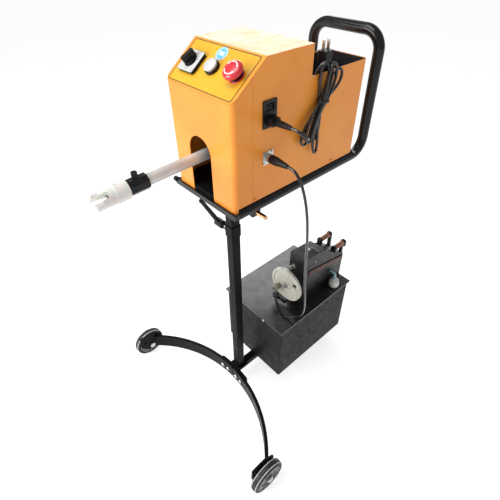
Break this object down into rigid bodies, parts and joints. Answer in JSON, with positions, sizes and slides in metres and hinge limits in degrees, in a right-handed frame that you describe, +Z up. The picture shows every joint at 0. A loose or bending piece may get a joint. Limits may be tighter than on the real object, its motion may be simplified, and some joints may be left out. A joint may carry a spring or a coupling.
{
  "type": "wire feeder",
  "caption": "Wheeled pedestal wire feeder: sloped-panel drive case with guide tube and forked nozzle, push handle, lower cabinet with hand-cranked roller head.",
  "frame": {"origin": "on the floor, at the centre of the footprint box of the object without its cords", "axes": "+Z up, -Y forward, the way the guide tube and nozzle point, +X the side with the inlet and control socket"},
  "size_m": [0.661, 0.704, 1.074],
  "materials": {
    "orange": "gloss orange-yellow powder coat",
    "black_metal": "black powder coat",
    "black_gloss": "gloss black lid",
    "black_plastic": "moulded black plastic",
    "label": "printed yellow film",
    "white_plastic": "white plastic",
    "nylon": "milky white nylon",
    "red": "red plastic",
    "steel": "zinc plated",
    "pale_tube": "pale grey tube",
    "brass": "brass",
    "copper": "copper coloured",
    "cream": "cream enamel",
    "grey_hub": "grey moulded hub",
    "tyre": "black rubber tyre",
    "rubber": "black rubber",
    "liner": "black lining",
    "knob_brown": "grey-brown knob",
    "ribgrey": "grey ribbed plate",
    "pcb": "board and supply case",
    "aluminium_plate": "machined plate"
  },
  "bodies": {
    "frame": {"base_beam": "black_metal", "cabinet": "black_metal", "cabinet_lid": "black_gloss", "case_screws": "steel", "clamp_collar": "black_metal", "control_lead": "rubber", "control_plug": "black_plastic", "control_socket": "steel", "copper_strip": "copper", "cord_foot": "rubber", "cross_shaft": "brass", "drive_frame": "aluminium_plate", "electronics": "pcb", "floor_plate": "black_metal", "front_arms": "black_metal", "front_cover": "orange", "gearmotor": "steel", "head_housing": "black_metal", "inlet_plug": "rubber", "inlet_socket": "black_plastic", "main_body": "orange", "mains_hank": "rubber", "mains_lead": "rubber", "mains_tail": "rubber", "oil_bowl": "white_plastic", "panel_collars": "black_plastic", "panel_label": "label", "post": "black_metal", "rear_feet": "rubber", "recess_liner": "liner", "ribbed_plate": "ribgrey", "roller_brackets": "black_metal", "stand_bolts": "steel", "switch_base": "black_plastic", "tray_bars": "black_metal", "tray_tube": "black_metal", "wall_plug": "rubber"},
    "switch_knob": {"switch_knob": "black_plastic"},
    "push_button": {"button_cap": "white_plastic"},
    "stop_plunger": {"estop_stem": "red"},
    "stop_head": {"estop_head": "red"},
    "rocker": {"rocker": "black_plastic"},
    "clamp_lever": {"clamp_lever": "black_plastic"},
    "wheel_left": {"tyre_left": "tyre", "hub_left": "grey_hub"},
    "wheel_right": {"tyre_right": "tyre", "hub_right": "grey_hub"},
    "wire_spool": {"wire_spool": "black_plastic"},
    "handwheel": {"handwheel": "cream", "handwheel_pins": "steel"},
    "crank_knob": {"crank_knob": "knob_brown"},
    "roller_left": {"roller_left": "copper"},
    "roller_right": {"roller_right": "copper"},
    "feed_tube": {"guide_tube": "pale_tube"},
    "nozzle": {"clamp_sleeve": "black_metal", "nozzle": "nylon"},
    "thumb_screw": {"thumb_screw": "black_metal"},
    "drive_roll": {"drive_roll": "steel"},
    "pressure_arm": {"pressure_arm": "black_metal"},
    "pressure_roll": {"pressure_roll": "steel"}
  },
  "joints": [
    {"name": "switch_turn", "type": "hinge", "parent": "frame", "child": "switch_knob", "pos_m": [-0.0545, -0.07862, 1.04079], "axis": [0, -0.6126, 0.7904], "range_deg": [-60, 60]},
    {"name": "button_press", "type": "slide", "parent": "frame", "child": "push_button", "axis": [0, 0.6126, -0.7904], "range_m": [0, 0.003], "stiffness_N_per_m": 300, "springref_m": -0.002},
    {"name": "stop_press", "type": "slide", "parent": "frame", "child": "stop_plunger", "axis": [0, 0.6126, -0.7904], "range_m": [0, 0.004], "stiffness_N_per_m": 900, "springref_m": -0.004},
    {"name": "stop_twist", "type": "hinge", "parent": "stop_plunger", "child": "stop_head", "pos_m": [0.068, -0.07585, 1.04293], "axis": [0, -0.6126, 0.7904], "range_deg": [0, 45], "stiffness_Nm_per_rad": 0.05},
    {"name": "rocker_tilt", "type": "hinge", "parent": "frame", "child": "rocker", "pos_m": [0.097, -0.02776, 0.988], "axis": [0, 1, 0], "range_deg": [0, 18]},
    {"name": "clamp_turn", "type": "hinge", "parent": "frame", "child": "clamp_lever", "pos_m": [-0.04, -0.04976, 0.659], "axis": [1, 0, 0], "range_deg": [-20, 90]},
    {"name": "wheel_left_spin", "type": "hinge", "parent": "frame", "child": "wheel_left", "pos_m": [-0.312, -0.21576, 0.053], "axis": [1, 0, 0], "continuous": true},
    {"name": "wheel_right_spin", "type": "hinge", "parent": "frame", "child": "wheel_right", "pos_m": [0.312, -0.21576, 0.053], "axis": [1, 0, 0], "continuous": true},
    {"name": "spool_spin", "type": "hinge", "parent": "frame", "child": "wire_spool", "pos_m": [-0.01, 0.18424, 0.191], "axis": [1, 0, 0], "continuous": true},
    {"name": "handwheel_spin", "type": "hinge", "parent": "frame", "child": "handwheel", "pos_m": [0.047, 0.11824, 0.389], "axis": [0, 1, 0], "continuous": true},
    {"name": "crank_knob_spin", "type": "hinge", "parent": "handwheel", "child": "crank_knob", "pos_m": [0.021, 0.11824, 0.369], "axis": [0, 1, 0], "continuous": true},
    {"name": "roller_left_spin", "type": "hinge", "parent": "frame", "child": "roller_left", "pos_m": [0.028, 0.31123, 0.457], "axis": [0, 1, 0], "continuous": true},
    {"name": "roller_right_spin", "type": "hinge", "parent": "frame", "child": "roller_right", "pos_m": [0.084, 0.31123, 0.457], "axis": [0, 1, 0], "continuous": true},
    {"name": "tube_swing", "type": "hinge", "parent": "frame", "child": "feed_tube", "pos_m": [-0.006, 0.03424, 0.886], "axis": [1, 0, 0], "range_deg": [-11, 20]},
    {"name": "nozzle_turn", "type": "hinge", "parent": "feed_tube", "child": "nozzle", "pos_m": [-0.006, -0.31555, 0.87379], "axis": [0, -0.9994, -0.0349], "range_deg": [-90, 90]},
    {"name": "thumb_screw_turn", "type": "hinge", "parent": "nozzle", "child": "thumb_screw", "pos_m": [-0.006, -0.26328, 0.89562], "axis": [0, -0.0349, 0.9994], "range_deg": [-180, 180]},
    {"name": "drive_roll_spin", "type": "hinge", "parent": "frame", "child": "drive_roll", "pos_m": [-0.006, 0.09824, 0.8651], "axis": [1, 0, 0], "continuous": true},
    {"name": "pressure_arm_lift", "type": "hinge", "parent": "frame", "child": "pressure_arm", "pos_m": [-0.006, 0.14624, 0.9089], "axis": [1, 0, 0], "range_deg": [-10, 0], "stiffness_Nm_per_rad": 2, "springref_deg": 11.46},
    {"name": "pressure_roll_spin", "type": "hinge", "parent": "pressure_arm", "child": "pressure_roll", "pos_m": [-0.006, 0.09824, 0.9049], "axis": [1, 0, 0], "continuous": true}
  ],
  "couplings": [
    {"joint": "pressure_roll_spin", "follows": "drive_roll_spin", "ratio": -1.1111}
  ]
}
